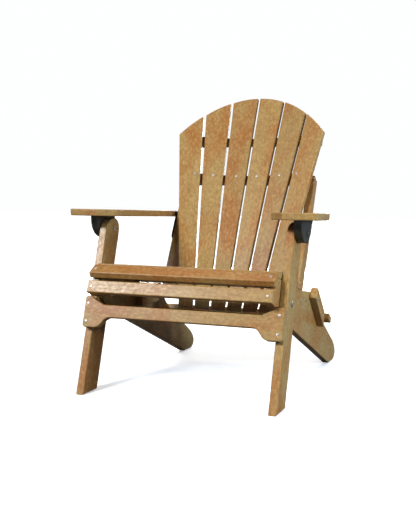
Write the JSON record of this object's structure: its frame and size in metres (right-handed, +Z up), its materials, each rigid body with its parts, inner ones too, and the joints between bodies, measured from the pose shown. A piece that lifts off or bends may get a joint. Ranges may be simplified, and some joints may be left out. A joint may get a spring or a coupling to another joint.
{
  "type": "folding adirondack chair",
  "caption": "Folding adirondack garden chair with a fanned slatted back, sloping slatted seat, wide arms and raked rear legs.",
  "frame": {"origin": "on the floor, under the middle of the chair's bounding box", "axes": "+Z up, -Y the way the chair faces, +X towards the sitter's left"},
  "size_m": [0.824, 0.856, 0.9838],
  "materials": {
    "seat_boards": "wood-grained poly lumber, satin",
    "back_boards": "wood-grained poly lumber, satin",
    "frame_boards": "wood-grained poly lumber, satin",
    "arm_boards": "wood-grained poly lumber, satin",
    "leg_boards": "wood-grained poly lumber, satin",
    "arm_brackets": "dark moulded plastic, satin",
    "arm_plates": "dark powder coat",
    "fasteners": "bright stainless steel"
  },
  "bodies": {
    "seat_frame": {"side_board_left": "frame_boards", "side_board_right": "frame_boards", "hinge_block_left": "frame_boards", "hinge_block_right": "frame_boards", "cleat_left": "frame_boards", "cleat_right": "frame_boards", "leg_pivot_bolt_left": "fasteners", "leg_pivot_bolt_right": "fasteners", "leg_pivot_nut_left": "fasteners", "leg_pivot_nut_right": "fasteners", "back_pivot_bolt_left": "fasteners", "back_pivot_bolt_right": "fasteners", "nose_screw_left": "fasteners", "nose_screw_right": "fasteners", "front_slat_screw_left": "fasteners", "front_slat_screw_right": "fasteners", "nose_board": "seat_boards", "front_seat_slat": "seat_boards", "rear_stretcher": "frame_boards", "seat_slat_1": "seat_boards", "seat_slat_2": "seat_boards", "seat_slat_3": "seat_boards", "seat_slat_4": "seat_boards"},
    "front_legs": {"front_leg_left": "leg_boards", "front_leg_right": "leg_boards", "apron": "leg_boards", "apron_screw_upper_left": "fasteners", "apron_screw_upper_right": "fasteners", "apron_screw_lower_left": "fasteners", "apron_screw_lower_right": "fasteners"},
    "back": {"back_slat_1": "back_boards", "back_slat_2": "back_boards", "back_slat_3": "back_boards", "back_slat_4": "back_boards", "back_slat_5": "back_boards", "back_slat_6": "back_boards", "upper_rail": "frame_boards", "middle_rail": "frame_boards", "lower_rail": "frame_boards", "upright_left": "frame_boards", "upright_right": "frame_boards", "back_screw_left_1": "fasteners", "back_screw_left_2": "fasteners", "back_screw_left_3": "fasteners", "back_screw_right_1": "fasteners", "back_screw_right_2": "fasteners", "back_screw_right_3": "fasteners"},
    "arm_left": {"arm_left": "arm_boards", "arm_bracket_left": "arm_brackets", "rear_arm_plate_left": "arm_plates", "rear_arm_bolt_left": "fasteners", "arm_pivot_bolt_left": "fasteners", "arm_pivot_nut_left": "fasteners"},
    "arm_right": {"arm_right": "arm_boards", "arm_bracket_right": "arm_brackets", "rear_arm_plate_right": "arm_plates", "rear_arm_bolt_right": "fasteners", "arm_pivot_bolt_right": "fasteners", "arm_pivot_nut_right": "fasteners"}
  },
  "joints": [
    {"name": "back_fold", "type": "hinge", "parent": "seat_frame", "child": "back", "pos_m": [0, 0.094, 0.262], "axis": [1, 0, 0], "range_deg": [0, 62]},
    {"name": "leg_fold", "type": "hinge", "parent": "seat_frame", "child": "front_legs", "pos_m": [0, -0.28, 0.306], "axis": [1, 0, 0], "range_deg": [0, 62]},
    {"name": "arm_fold_left", "type": "hinge", "parent": "front_legs", "child": "arm_left", "pos_m": [0.343, -0.204, 0.514], "axis": [1, 0, 0], "range_deg": [-62, 0]},
    {"name": "arm_fold_right", "type": "hinge", "parent": "front_legs", "child": "arm_right", "pos_m": [-0.343, -0.204, 0.514], "axis": [1, 0, 0], "range_deg": [-62, 0]}
  ],
  "couplings": [
    {"joint": "leg_fold", "follows": "back_fold", "ratio": 1},
    {"joint": "arm_fold_left", "follows": "back_fold", "ratio": -1},
    {"joint": "arm_fold_right", "follows": "back_fold", "ratio": -1}
  ]
}
